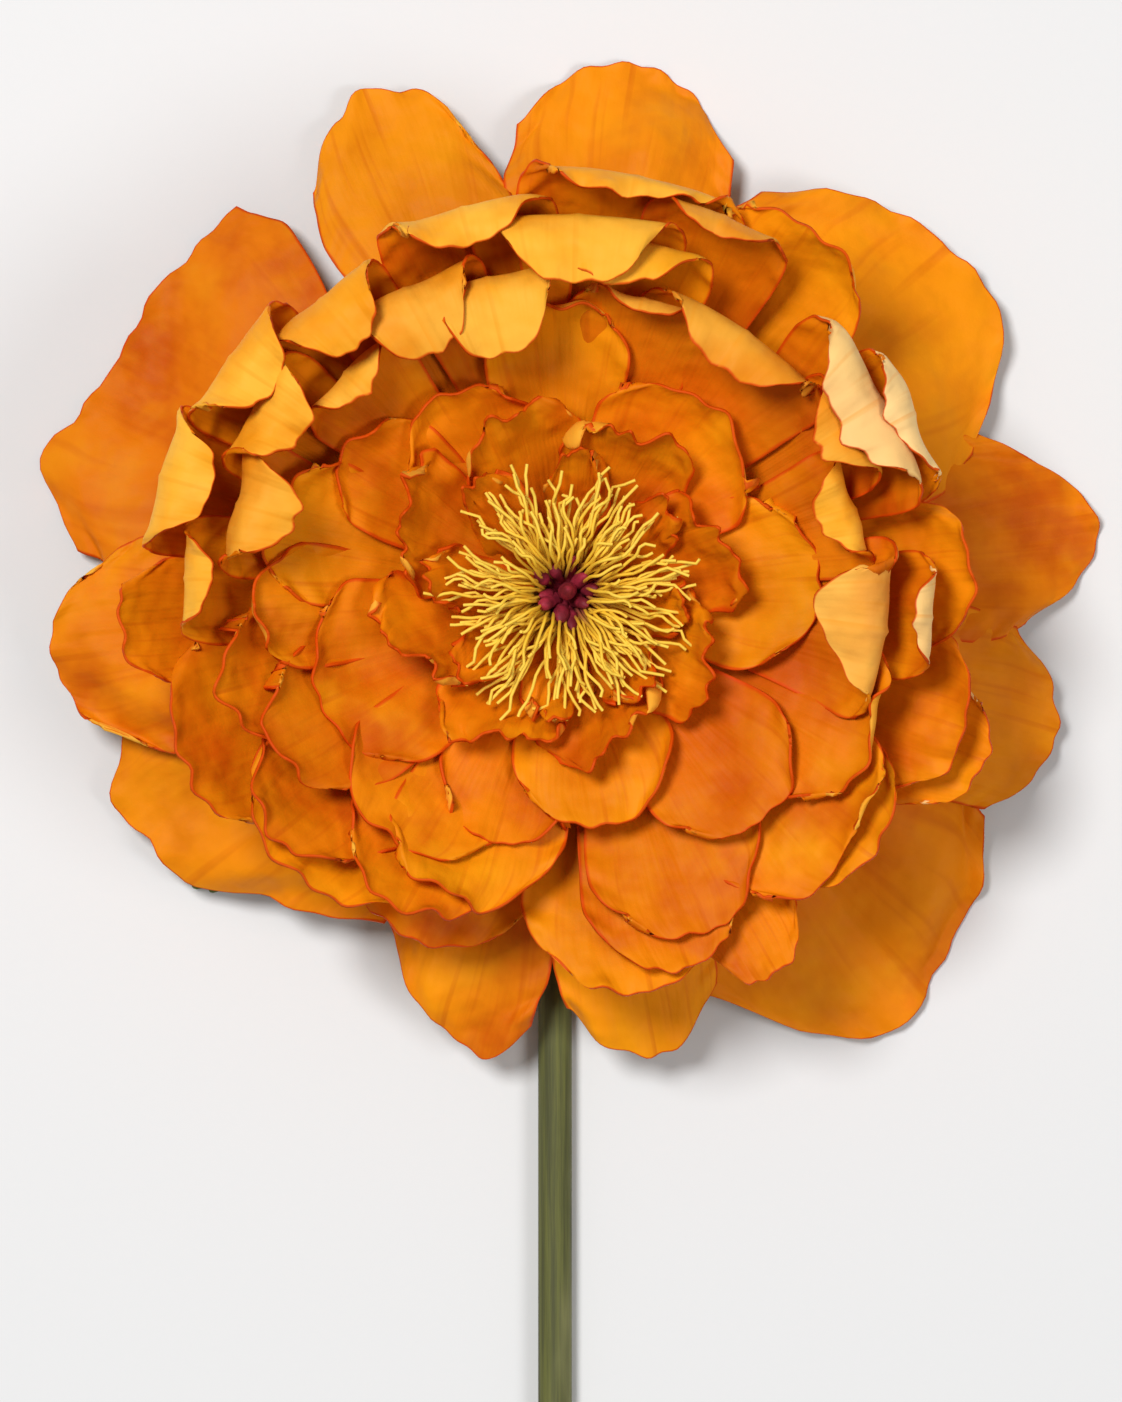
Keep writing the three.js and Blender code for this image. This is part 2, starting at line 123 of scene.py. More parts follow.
def opennessOf(row, angle):
    values = np.array(nest[row]["openness"], float)
    place = np.mod(angle, 360) / 360 * len(values)
    before = np.floor(place).astype(int) % len(values)
    after = (before + 1) % len(values)
    share = smoothStep(0, 1, place % 1)
    return values[before] * (1 - share) + values[after] * share


def shellProfile(row, station, angle):
    openness = opennessOf(row, angle)[..., None]
    closedLine = splineAt(shellLines[row, 0], station)
    openLine = splineAt(shellLines[row, 1], station)
    return closedLine * (1 - openness) + openLine * openness


# Distance from the axis and height for a level between two shells
def nestProfile(level, station, angle):
    level = np.broadcast_to(np.asarray(level, float), station.shape)
    profile = np.zeros(station.shape + (2,))
    for row in range(len(nest)):
        weight = np.clip(1 - np.abs(level - row), 0, 1)[..., None]
        if weight.any():
            profile += weight * shellProfile(row, station, angle)
    onGuard = np.clip(2.5 - level, 0, 1) * np.clip(level, 0, 1)
    lift = guardLift["height"] * np.exp(-((angle - 270) / guardLift["spread"]) ** 2)
    profile[..., 1] += lift * onGuard * profile[..., 0] / guardLift["reach"]
    return profile


petalSheet = dict(thickness=0.55, clawWidth=4.4, acrossSteps=44, alongSteps=46)
# Width from foot to tip, as shares of the greatest width
spreadLine = np.array([(0, 0), (0.2, 0.22), (0.4, 0.54), (0.6, 0.84), (0.78, 1), (0.9, 0.97), (1, 0.82)])
roundTip = [0.76, 0.92, 0.985, 1, 0.985, 0.92, 0.76]  # length across the tip, as a share of the reach
pointedTip = [0.62, 0.8, 0.94, 1, 0.93, 0.8, 0.62]
plainFlare = 0.82  # width of the tip, as a share of the greatest width


def spreadAt(along, flare):
    line = spreadLine.copy()
    line[-1, 1] = flare
    line[-2, 1] = max(line[-2, 1], flare)
    fine = splineAt(line, np.linspace(0, len(line) - 1, 200))
    return np.interp(along, fine[:, 0], fine[:, 1])


# A sum of slow waves with phases drawn from the petal's own generator, from about -1 to 1
def wander(place, waves, rng):
    total = np.zeros_like(place)
    for wave in waves:
        total += np.sin(place * wave + rng.uniform(0, 2 * math.pi)) / len(waves) ** 0.5
    return total


def petalSurface(petal, seed):
    rng = np.random.default_rng(seed)
    acrossLine = np.linspace(-1, 1, petalSheet["acrossSteps"] + 1)
    acrossLine = np.sign(acrossLine) * (1 - (1 - np.abs(acrossLine)) ** 1.35)  # finer towards the edges
    alongLine = 1 - (1 - np.linspace(0, 1, petalSheet["alongSteps"] + 1)) ** 1.4
    across, along = np.meshgrid(acrossLine, alongLine, indexing="ij")
    tip = np.array(petal.get("tip", roundTip), float)[:, None]
    tipShare = splineAt(tip, (across + 1) / 2 * (len(tip) - 1))[..., 0]
    ragged = petal.get("ragged", 0.012)
    scallop = ragged * (wander(across, (7, 12.5, 19), rng) - 0.8 * np.abs(wander(across, (5.5, 9), rng)))
    if "outline" in petal:  # the edge given as its distance from the axis
        outline = np.array(petal["outline"], float)[:, None]
        rim = splineAt(outline, (across + 1) / 2 * (len(outline) - 1))[..., 0]
        length = np.interp(rim * (1 + scallop * 0.3), shellLines[1, 0, :, 0], np.arange(lastStation + 1))
    else:
        length = petal["reach"] * tipShare * (1 + scallop)
    station = np.clip(along * length, 0, lastStation)
    claw = petalSheet["clawWidth"]
    halfWidth = (claw + (petal["width"] - claw) * spreadAt(along, petal.get("flare", plainFlare))) / 2
    nibbles = along * wander(along + 0.6 * np.sign(across), (6, 11, 19), rng)
    halfWidth = halfWidth * (1 + ragged * 1.6 * nibbles)
    radius = nestProfile(petal["shell"], station, np.full(station.shape, float(petal["angle"])))[..., 0]
    angle = petal["angle"] + np.degrees(across * halfWidth / radius)
    level = petal["shell"] + petal.get("tilt", 0) * across
    profile = nestProfile(level, station, angle)
    turn = np.radians(angle)
    points = np.stack([profile[..., 0] * np.cos(turn), profile[..., 0] * np.sin(turn), profile[..., 1]], -1)
    stationLength = np.linalg.norm(np.diff(points, axis=1), axis=2).sum(1, keepdims=True)
    fromTip = (1 - along) * stationLength
    fromSide = (1 - np.abs(across)) * halfWidth
    offset = ruffles(petal, across, along, fromTip, fromSide, halfWidth, stationLength, rng)
    points = points + gridNormals(points) * offset[..., None]
    points[..., 2] = np.maximum(points[..., 2], petalSheet["thickness"])  # resting on the table
    edge = np.minimum(fromTip, fromSide / 0.9)
    return points, across, along, edge


# How far the sheet stands off its shell: ruffled edges, soft dents, a creased middle
def ruffles(petal, across, along, fromTip, fromSide, halfWidth, length, rng):
    wave = petal.get("wave", 1)
    tipEdge = np.exp(-(fromTip / 5.5) ** 2) * smoothStep(0, 0.35, 1 - np.abs(across) * 0.6)
    sideEdge = 0.6 * np.exp(-(fromSide / 4.5) ** 2) * smoothStep(0.45, 0.75, along)
    sideEdge = sideEdge * smoothStep(0, 0.12, 1 - along)
    tipWave = wander(across * halfWidth, (0.28, 0.5, 0.85), rng)
    sideWave = wander(along * length + 40 * np.sign(across), (0.24, 0.45, 0.7), rng)
    dents = wander(across * 2.4 + along * 1.7, (1, 2.1), rng) * wander(along * 5, (1, 1.7), rng)
    dents = petal.get("dent", 0.6) * dents
    fold = petal.get("fold", 0.25)
    foldLine = petal.get("foldAt", 0) * along
    crease = -fold * np.exp(-np.abs(across - foldLine) / 0.05) * smoothStep(0.15, 0.5, along)
    crease = crease * smoothStep(0, 0.15, 1 - along)
    grip = smoothStep(0.1, 0.45, along)
    roll = petal.get("roll", -1.2) * (across ** 2 - 0.3) * smoothStep(0.3, 0.9, along)
    return roll + wave * 0.75 * (tipEdge * tipWave + sideEdge * sideWave) + dents * grip + crease


def gridNormals(points):
    alongStep = np.gradient(points, axis=1)
    acrossStep = np.gradient(points, axis=0)
    normal = np.cross(alongStep, acrossStep)
    return normal / np.maximum(np.linalg.norm(normal, axis=-1, keepdims=True), 1e-9)


def gridFaces(rows, columns, start):
    low = start + (np.arange(rows - 1)[:, None] * columns + np.arange(columns - 1)[None, :]).ravel()
    return np.stack([low, low + 1, low + columns + 1, low + columns], 1)


# A closed sheet of even thickness round a grid of points
def sheetParts(surface):
    points, across, along, edge = surface
    rows, columns = across.shape
    half = gridNormals(points) * petalSheet["thickness"] / 2
    vertices = np.concatenate([(points + half).reshape(-1, 3), (points - half).reshape(-1, 3)])
    count = rows * columns
    face = gridFaces(rows, columns, 0)
    back = gridFaces(rows, columns, count)[:, ::-1]
    ring = np.concatenate([
        np.arange(columns), (np.arange(1, rows) + 1) * columns - 1,
        count - 1 - np.arange(1, columns), (rows - 1 - np.arange(1, rows)) * columns])
    rim = np.stack([ring[1:], ring[:-1], ring[:-1] + count, ring[1:] + count], 1)
    quads = np.concatenate([face, back, rim])
    sides = np.concatenate([np.zeros(len(face), int), np.ones(len(back), int), np.zeros(len(rim), int)])
    uv = np.tile(np.stack([across.ravel() * 0.5 + 0.5, along.ravel()], 1), (2, 1))
    return dict(vertices=vertices, quads=quads, sides=sides, uv=uv, edge=np.tile(edge.ravel(), 2))


def joinParts(parts):
    starts = np.cumsum([0] + [len(part["vertices"]) for part in parts[:-1]])
    shared = ("vertices", "sides", "uv", "edge")
    whole = {key: np.concatenate([part[key] for part in parts]) for key in shared}
    whole["quads"] = np.concatenate([part["quads"] + start for part, start in zip(parts, starts)])
    return whole


def placed(vertices):
    return vertices * mm + np.array([axisX, axisY, 0])


def sheetObject(name, part, materials, tint, backHighlight):
    mesh = bpy.data.meshes.new(name)
    mesh.from_pydata(placed(part["vertices"]).tolist(), [], part["quads"].tolist())
    mesh.polygons.foreach_set("material_index", part["sides"].astype(np.int32))
    mesh.polygons.foreach_set("use_smooth", np.ones(len(mesh.polygons), bool))
    corner = np.zeros(len(mesh.loops), np.int32)
    mesh.loops.foreach_get("vertex_index", corner)
    layer = mesh.uv_layers.new(name="petalMap")
    layer.data.foreach_set("uv", part["uv"][corner].astype(np.float32).ravel())
    for label, values in (("edge", part["edge"]), ("tint", np.full(len(part["edge"]), tint)),
                          ("backHighlight", np.full(len(part["edge"]), backHighlight))):
        mesh.attributes.new(label, "FLOAT", "POINT").data.foreach_set("value", values.astype(np.float32))
    for material in materials:
        mesh.materials.append(material)
    mesh.validate()
    thing = bpy.data.objects.new(name, mesh)
    bpy.context.collection.objects.link(thing)
    return thing


class Num:  # a number socket that takes Python arithmetic
    def __init__(self, shader, socket):
        self.shader = shader
        self.socket = socket

    def join(self, operation, first, second, clamp=False):
        settings = {"operation": operation, "use_clamp": clamp}
        made = self.shader.node("ShaderNodeMath", settings, {0: first, 1: second})
        return Num(self.shader, made.outputs[0])

    def __add__(self, other):
        return self.join("ADD", self, other)

    def __sub__(self, other):
        return self.join("SUBTRACT", self, other)

    def __rsub__(self, other):
        return self.join("SUBTRACT", other, self)

    def __mul__(self, other):
        return self.join("MULTIPLY", self, other)

    def clamped(self):
        return self.join("ADD", self, 0, clamp=True)

    __radd__ = __add__
    __rmul__ = __mul__


class Shader:
    def __init__(self, name):
        self.material = bpy.data.materials.new(name)
        self.material.use_nodes = True
        self.tree = self.material.node_tree
        self.tree.nodes.clear()
        self.surface = self.node("ShaderNodeBsdfPrincipled")
        self.node("ShaderNodeOutputMaterial", {}, {"Surface": self.surface.outputs[0]})

    def node(self, kind, settings=None, sockets=None):
        made = self.tree.nodes.new(kind)
        for key, value in (settings or {}).items():
            setattr(made, key, value)
        for key, value in (sockets or {}).items():
            self.plug(made.inputs[key], value)
        return made

    def plug(self, socket, value):
        if isinstance(value, Num):
            value = value.socket
        if isinstance(value, bpy.types.NodeSocket):
            self.tree.links.new(value, socket)
        else:
            socket.default_value = value

    def set(self, **sockets):
        names = dict(colour="Base Color", roughness="Roughness", normal="Normal",
                     specular="Specular IOR Level")
        for key, value in sockets.items():
            self.plug(self.surface.inputs[names[key]], value)

    def mix(self, factor, first, second, blend="MIX"):
        made = self.node("ShaderNodeMix", {"data_type": "RGBA", "blend_type": blend})
        for socket, value in ((made.inputs[0], factor), (made.inputs[6], first), (made.inputs[7], second)):
            self.plug(socket, value)
        return made.outputs[2]

    def attribute(self, name):
        return Num(self, self.node("ShaderNodeAttribute", {"attribute_name": name}).outputs["Fac"])

    def noise(self, place, scale, detail=3, roughness=0.55):
        made = self.node("ShaderNodeTexNoise", {}, {"Vector": place, "Scale": scale, "Detail": detail,
                                                   "Roughness": roughness})
        return Num(self, made.outputs["Fac"])

    def stretched(self, place, factors):
        made = self.node("ShaderNodeVectorMath", {"operation": "MULTIPLY"}, {0: place, 1: factors})
        return made.outputs[0]

    def ramp(self, value, stops):
        made = self.node("ShaderNodeValToRGB", {}, {"Fac": value})
        while len(made.color_ramp.elements) < len(stops):
            made.color_ramp.elements.new(0.5)
        for element, (position, colour) in zip(made.color_ramp.elements, stops):
            element.position = position
            element.color = colour
        return made.outputs[0]

    def step(self, value, low, high):
        made = self.node("ShaderNodeMapRange", {"interpolation_type": "SMOOTHSTEP"},
                         {"Value": value, "From Min": low, "From Max": high})
        return Num(self, made.outputs[0])

    def bump(self, height, strength, distance):
        sockets = {"Height": height, "Strength": strength, "Distance": distance}
        made = self.node("ShaderNodeBump", {}, sockets)
        return made.outputs[0]


# faceDeep and backDeep are darker copies of the face and back colours, used for veins, per-petal tone and
# painted shade; faceBright is a lighter copy, used for fibres, per-petal tone and painted highlights.
petalLook = dict(
    face=(0.82, 0.215, 0.001, 1), faceDeep=(0.56, 0.085, 0.0005, 1), faceBright=(0.92, 0.36, 0.003, 1),
    back=(0.93, 0.46, 0.045, 1), backDeep=(0.84, 0.28, 0.008, 1), backHighlightColour=(0.95, 0.64, 0.27, 1),
    rim=(0.66, 0.06, 0.001, 1), rimWidth=0.8)


def petalMaterial(name, isBack):
    shader = Shader(name)
    place = shader.node("ShaderNodeTexCoord").outputs["Object"]
    petalMap = shader.node("ShaderNodeUVMap", {"uv_map": "petalMap"}).outputs[0]
    mottleAndShade = shader.noise(place, 45, 4)
    fibres = shader.noise(shader.stretched(petalMap, (34, 2.2, 1)), 1, 5, 0.65)
    grain = shader.noise(place, 900, 3)
    deep = petalLook["backDeep"] if isBack else petalLook["faceDeep"]
    plain = petalLook["back"] if isBack else petalLook["face"]
    # Painted shade: random patches darken the petal towards its deep colour, standing in for the shading of
    # its dents; the same noise also varies roughness.
    colour = shader.mix(shader.step(mottleAndShade, 0.3, 0.62), deep, plain)
    # Painted highlight: random patches brighten the petal towards faceBright.
    highlightPatches = shader.step(shader.noise(place, 62, 3), 0.45, 0.75) * 0.5
    colour = shader.mix(highlightPatches, colour, petalLook["faceBright"])
    # Painted shade: each petal darkens towards its foot, where the petals crowd over one another.
    run = Num(shader, shader.node("ShaderNodeSeparateXYZ", {}, {0: petalMap}).outputs[1])
    colour = shader.mix((1 - shader.step(run, 0.15, 0.8)) * 0.75, colour, petalLook["faceDeep"])
    colour = shader.mix(shader.step(fibres, 0.45, 0.8) * 0.12, colour, petalLook["faceBright"])
    tint = shader.attribute("tint")
    colour = shader.mix(shader.step(tint, 0.5, 1) * 0.5, colour, petalLook["faceBright"])
    colour = shader.mix(shader.step(0.5 - tint, 0, 0.5) * 0.6, colour, petalLook["faceDeep"])
    # Painted highlight: the backs of some petals are washed pale, where light falls strongly on them.
    if isBack:
        colour = shader.mix(shader.attribute("backHighlight"), colour, petalLook["backHighlightColour"])
    frayed = shader.attribute("edge") + shader.noise(place, 300, 2) * 0.5
    rim = 1 - shader.step(frayed, petalLook["rimWidth"] * 0.55, petalLook["rimWidth"] * 1.25)
    colour = shader.mix(rim * 0.9, colour, petalLook["rim"])
    veins = shader.noise(shader.stretched(petalMap, (15, 0.9, 1)), 1, 2, 0.4)
    colour = shader.mix((1 - shader.step(veins, 0.3, 0.44)) * 0.45, colour, deep)
    creases = shader.noise(shader.stretched(petalMap, (9, 1.6, 1)), 1, 2)
    height = fibres * 0.05 + grain * 0.08 + shader.noise(place, 85, 2) * 2.4 + creases * 0.7
    shader.set(colour=colour, roughness=0.5 + mottleAndShade * 0.12, specular=0.1,
               normal=shader.bump(height, 0.6, 0.0014))
    return shader.material


stemLook = dict(base=(0.13, 0.135, 0.03, 1), dark=(0.065, 0.068, 0.02, 1), light=(0.33, 0.32, 0.13, 1))


def stemMaterial():
    shader = Shader("Stem skin")
    place = shader.node("ShaderNodeTexCoord").outputs["Object"]
    streaks = shader.noise(shader.stretched(place, (900, 22, 900)), 1, 5, 0.7)
    patches = shader.noise(shader.stretched(place, (60, 18, 60)), 1, 3)
    colour = shader.mix(shader.step(streaks, 0.35, 0.68), stemLook["dark"], stemLook["base"])
    colour = shader.mix(shader.step(patches, 0.45, 0.72) * 0.6, colour, stemLook["light"])
    shader.set(colour=colour, roughness=0.55 + streaks * 0.15, specular=0.35,
               normal=shader.bump(streaks + patches * 0.6, 0.5, 0.0004))
    return shader.material


leafLook = dict(base=(0.12, 0.17, 0.035, 1), vein=(0.2, 0.24, 0.07, 1), worn=(0.24, 0.15, 0.05, 1))


def leafMaterial():
    shader = Shader("Sepal green")
    place = shader.node("ShaderNodeTexCoord").outputs["Object"]
    veins = shader.noise(shader.stretched(place, (220, 220, 60)), 1, 5, 0.7)
    wear = shader.noise(place, 40, 3)
    colour = shader.mix(shader.step(veins, 0.45, 0.7), leafLook["base"], leafLook["vein"])
    colour = shader.mix(shader.step(wear, 0.5, 0.75) * 0.7, colour, leafLook["worn"])
    shader.set(colour=colour, roughness=0.6 + veins * 0.1, specular=0.3,
               normal=shader.bump(veins, 0.4, 0.0005))
    return shader.material


threadLook = dict(foot=(0.20, 0.13, 0.03, 1), lower=(0.62, 0.36, 0.03, 1), upper=(0.88, 0.53, 0.03, 1),
                  tip=(0.92, 0.63, 0.07, 1), blush=(0.42, 0.03, 0.06, 1))


def threadMaterial():
    shader = Shader("Stamen yellow")
    run = shader.attribute("threadRun")
    hue = shader.attribute("threadHue")
    place = shader.node("ShaderNodeTexCoord").outputs["Object"]
    stops = [(0, threadLook["foot"]), (0.28, threadLook["lower"]), (0.55, threadLook["upper"]),
             (1, threadLook["tip"])]
    colour = shader.ramp(run + hue * 0.12, stops)
    speckle = shader.noise(place, 700, 2)
    colour = shader.mix(shader.step(speckle, 0.5, 0.8) * 0.5, colour, threadLook["lower"])
    blush = shader.attribute("threadBlush") * (1 - shader.step(run, 0.2, 0.5))
    colour = shader.mix(blush.clamped(), colour, threadLook["blush"])
    shader.set(colour=colour, roughness=0.6, specular=0.3, normal=shader.bump(speckle, 0.3, 0.0002))
    return shader.material


carpelLook = dict(base=(0.38, 0.022, 0.05, 1), dark=(0.16, 0.008, 0.018, 1), light=(0.55, 0.08, 0.11, 1))


def carpelMaterial():
    shader = Shader("Carpel crimson")
    place = shader.node("ShaderNodeTexCoord").outputs["Object"]
    mottleAndShade = shader.noise(place, 260, 4)
    fine = shader.noise(place, 1400, 2)
    colour = shader.mix(shader.step(mottleAndShade, 0.38, 0.62), carpelLook["dark"], carpelLook["base"])
    colour = shader.mix(shader.step(mottleAndShade, 0.58, 0.75) * 0.7, colour, carpelLook["light"])
    shader.set(colour=colour, roughness=0.55 + fine * 0.15, specular=0.35,
               normal=shader.bump(mottleAndShade + fine * 0.4, 0.5, 0.0004))
    return shader.material


petalFace = petalMaterial("Petal face", False)
petalBack = petalMaterial("Petal back", True)
stemSkin = stemMaterial()
sepalGreen = leafMaterial()
stamenYellow = threadMaterial()
carpelCrimson = carpelMaterial()
print("materials ready")


# angle: where the petal points, in degrees from +X. shell: its level in the nest. reach: stations that it
# runs through. Its back highlight: how far painted highlight washes its back pale. filler: a small petal
# between those of the frame.
guardPetals = [
    dict(angle=82.5, width=44, shell=1, outline=[88, 97.5, 101, 101.5, 101, 98, 90], flare=0.95),
    dict(angle=111.5, width=37, shell=1.6, outline=[86, 99, 100.8, 104, 100.5, 97, 91], flare=0.9),
    dict(angle=151.8, width=76, shell=1, outline=[97, 96.5, 97.5, 96.5, 98.5, 103, 93],
         fold=0.9, flare=0.97),
    dict(angle=187, width=41, shell=2.1, outline=[88, 96, 99, 100, 99, 95.5, 86], fold=0.7, foldAt=0.35),
    dict(angle=217, width=62, shell=1.45, outline=[88, 95, 91, 90.5, 82, 76, 71], fold=0.8, flare=0.97),
    dict(angle=254, width=34, shell=1, outline=[71, 76, 80.5, 84, 87, 88.5, 82], flare=0.95),
    dict(angle=281, width=31, shell=1.5, outline=[78, 84.5, 87, 88.6, 87, 84, 79], flare=0.92),
    dict(angle=312, width=67, shell=1, outline=[80, 95, 103, 102.5, 99.5, 97, 90], fold=0.7, flare=0.95),
    dict(angle=344.5, width=37, shell=1.5, outline=[89, 95, 96, 97.5, 95, 92, 86], flare=0.95),
    dict(angle=8.5, width=41, shell=1, outline=[88, 97, 101, 102, 99, 93, 85], flare=0.92),
    dict(angle=42, width=69, shell=1.55, outline=[83, 95, 99.5, 98.5, 97.5, 92, 84], fold=0.6, flare=0.95),
]

cupPetals = [
    dict(angle=80, width=44, shell=3.2, reach=6.5, wave=1.6),
    dict(angle=56, width=36, shell=2.95, reach=6),
    dict(angle=31, width=40, shell=4.25, reach=6.7, backHighlight=0.7),
    dict(angle=3, width=28, shell=3.5, reach=5.6, backHighlight=0.5),
    dict(angle=341, width=34, shell=3.2, reach=5.6, backHighlight=0.4),
    dict(angle=319, width=34, shell=3.75, reach=6),
    dict(angle=282, width=40, shell=3.5, reach=5.5, wave=1.4),
    dict(angle=247, width=46, shell=2.75, reach=3.5, wave=1.6),
    dict(angle=226, width=44, shell=3.6, reach=4.4, wave=1.4),
    dict(angle=203, width=44, shell=3.05, reach=4.4, wave=1.4),
    dict(angle=27, width=30, shell=3.85, reach=6.4, backHighlight=0.9, filler=True),
    dict(angle=299, width=22, shell=3.2, reach=6, filler=True),
    dict(angle=184, width=24, shell=2.8, reach=5.4, filler=True),
    dict(angle=338, width=28, shell=2.85, reach=6, filler=True, backHighlight=0.8),
]

curlPetals = [
    dict(angle=178, width=24, shell=4.15, reach=6),
    dict(angle=164, width=28, shell=3.3, reach=7),
    dict(angle=145, width=28, shell=3.55, reach=6.8),
    dict(angle=130, width=26, shell=4.12, reach=6.7),
    dict(angle=105, width=34, shell=3.8, reach=6.4),
    dict(angle=88, width=40, shell=4.2, reach=6.8),
    dict(angle=67, width=28, shell=3.5, reach=6.4),
]

innerCurlPetals = [
    dict(angle=165, width=26, shell=4.75, reach=6.7),
    dict(angle=149, width=26, shell=4.45, reach=6.6),
    dict(angle=135, width=24, shell=5.24, reach=6.3),
    dict(angle=118, width=30, shell=4.75, reach=6.8),
    dict(angle=104, width=30, shell=5.05, reach=7),
    dict(angle=81, width=36, shell=4.5, reach=6.4),
    dict(angle=55, width=40, shell=5.12, reach=6.5),
    dict(angle=30, width=24, shell=4.85, reach=6.4),
    dict(angle=16, width=24, shell=5.38, reach=6.7),
    dict(angle=353, width=34, shell=5.05, reach=7, backHighlight=0.15, fold=0.6),
    dict(angle=356, width=24, shell=4.25, reach=6.3, filler=True, backHighlight=0.7),
    dict(angle=75, width=26, shell=5.3, reach=6, filler=True),
]

ringPetals = [
    dict(angle=51, width=36, shell=6.3, reach=5.6),
    dict(angle=3, width=34, shell=6.03, reach=5),
    dict(angle=334, width=34, shell=4.8, reach=6),
    dict(angle=317, width=40, shell=4.3, reach=6.8),
    dict(angle=312, width=32, shell=5.65, reach=6),
    dict(angle=280, width=32, shell=6.25, reach=5.2),
    dict(angle=254, width=28, shell=5.8, reach=4.5),
    dict(angle=204, width=38, shell=6.05, reach=5.8),
    dict(angle=166, width=28, shell=5.5, reach=5.6),
    dict(angle=146, width=24, shell=5.98, reach=5.2),
    dict(angle=123, width=28, shell=6.3, reach=5),
    dict(angle=92, width=28, shell=5.6, reach=5.4),
    dict(angle=293, width=34, shell=4.58, reach=6),
    dict(angle=288, width=30, shell=4.05, reach=6),
    dict(angle=235, width=36, shell=5.33, reach=4.9),
    dict(angle=183, width=24, shell=5.3, reach=5.4, filler=True),
    dict(angle=209, width=30, shell=5, reach=4.8, filler=True),
    dict(angle=250, width=34, shell=5.0, reach=5.2, filler=True, wave=1.5),
    dict(angle=243, width=36, shell=4.5, reach=5, filler=True, wave=1.5),
    dict(angle=220, width=36, shell=4.1, reach=4.5, filler=True, wave=1.5),
    dict(angle=196, width=30, shell=4.6, reach=4.9, filler=True, wave=1.5),
]


def addWhorl(label, node, petals, seed, habit):
    for index, petal in enumerate(petals):
        petal = dict(habit, **petal)
        rng = np.random.default_rng(seed + index)
        name = f"{label}{index + 1:02d}"
        part = sheetParts(petalSurface(petal, seed * 7 + index))
        tint = rng.uniform(0.2, 0.9)
        thing = sheetObject(name, part, (petalFace, petalBack), tint, petal.get("backHighlight", 0.0))
        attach(thing, "root")
        if not petal.get("filler"):
            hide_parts(f"{node}_{index + 1:02d}")
    print(label, "whorl:", len(petals), "petals")


crowns = dict(count=8, tilt=0.3, ragged=0.055)


def addCrown(name, node, petal, firstAngle, seed):
    parts = []
    for index in range(crowns["count"]):
        angle = firstAngle + index * 360 / crowns["count"]
        one = dict(petal, angle=angle, tilt=crowns["tilt"], ragged=crowns["ragged"], fold=0.1)
        parts.append(sheetParts(petalSurface(one, seed + index)))
    thing = sheetObject(name, joinParts(parts), (petalFace, petalBack), 0.35, 0.0)
    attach(thing, "root")
    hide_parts(node)
    print(name, "ready")


addWhorl("GuardPetal", "guard_petal", guardPetals, 100, dict(dent=2.2, wave=1.3))
addWhorl("CupPetal", "cup_petal", cupPetals, 200, dict(dent=0.9))
addWhorl("CurlPetal", "curl_petal", curlPetals, 300, dict(dent=0.7, ragged=0.006))
addWhorl("InnerCurlPetal", "inner_curl_petal", innerCurlPetals, 400, dict(dent=0.7, ragged=0.006))
addWhorl("RingPetal", "ring_petal", ringPetals, 500, dict(dent=0.9, roll=1.6))
addCrown("OuterCrown", "outer_crown", dict(width=23, shell=7, reach=6.3, wave=1.5), 20, 600)
addCrown("InnerCrown", "inner_crown", dict(width=16, shell=8, reach=5.8, wave=1.6), 45, 700)


# A closed round tube along a path of points in mm, with a radius at each
def tubeParts(path, radii, sides):
    path = np.asarray(path, float)
    tangent = np.gradient(path, axis=0)
    tangent /= np.linalg.norm(tangent, axis=1, keepdims=True)
    side = np.cross(tangent, np.where(np.abs(tangent[:1, 0:1]) > 0.9, (0, 1, 0), (1, 0, 0)))
    side /= np.linalg.norm(side, axis=1, keepdims=True)
    up = np.cross(side, tangent)
    turns = np.arange(sides) / sides * 2 * math.pi
    rings = (path[:, None] + np.asarray(radii)[:, None, None]
             * (np.cos(turns)[None, :, None] * side[:, None] + np.sin(turns)[None, :, None] * up[:, None]))
    vertices = np.concatenate([rings.reshape(-1, 3), path[:1], path[-1:]])
    faces = []
    for start in range(0, (len(path) - 1) * sides, sides):
        for turn in range(sides):
            after = (turn + 1) % sides
            faces.append((start + turn, start + sides + turn, start + sides + after, start + after))
    first = len(vertices) - 2
    last = len(vertices) - 1
    for turn in range(sides):
        after = (turn + 1) % sides
        faces.append((turn, after, first))
        faces.append(((len(path) - 1) * sides + after, (len(path) - 1) * sides + turn, last))
    return vertices, faces


def plainObject(name, parts, material):
    vertices, faces, start = [], [], 0
    for points, polygons in parts:
        vertices += placed(points).tolist()
        faces += [tuple(corner + start for corner in polygon) for polygon in polygons]
        start += len(points)
    mesh = bpy.data.meshes.new(name)
    mesh.from_pydata(vertices, [], faces)
    mesh.materials.append(material)
    mesh.shade_smooth()
    mesh.validate()
    thing = bpy.data.objects.new(name, mesh)
    bpy.context.collection.objects.link(thing)
    return thing


def keep(thing, node):
    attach(thing, "root")
    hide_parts(node)


stem = dict(radius=3.2, offset=-1.9, length=190, bend=10.4, sides=40)


def addStem():
    straight = np.linspace(-stem["length"], -stem["bend"], 90)
    height = stem["radius"] + stem["bend"]
    path = [(stem["offset"], y, stem["radius"]) for y in straight]
    for turn in np.linspace(0, math.pi / 2, 16)[1:]:
        y = stem["bend"] * (math.sin(turn) - 1)
        path.append((stem["offset"], y, height - stem["bend"] * math.cos(turn)))
    vertices, faces = tubeParts(path, [stem["radius"]] * len(path), stem["sides"])
    keep(plainObject("Stem", [(vertices, faces)], stemSkin), "stem")
    print("stem ready")


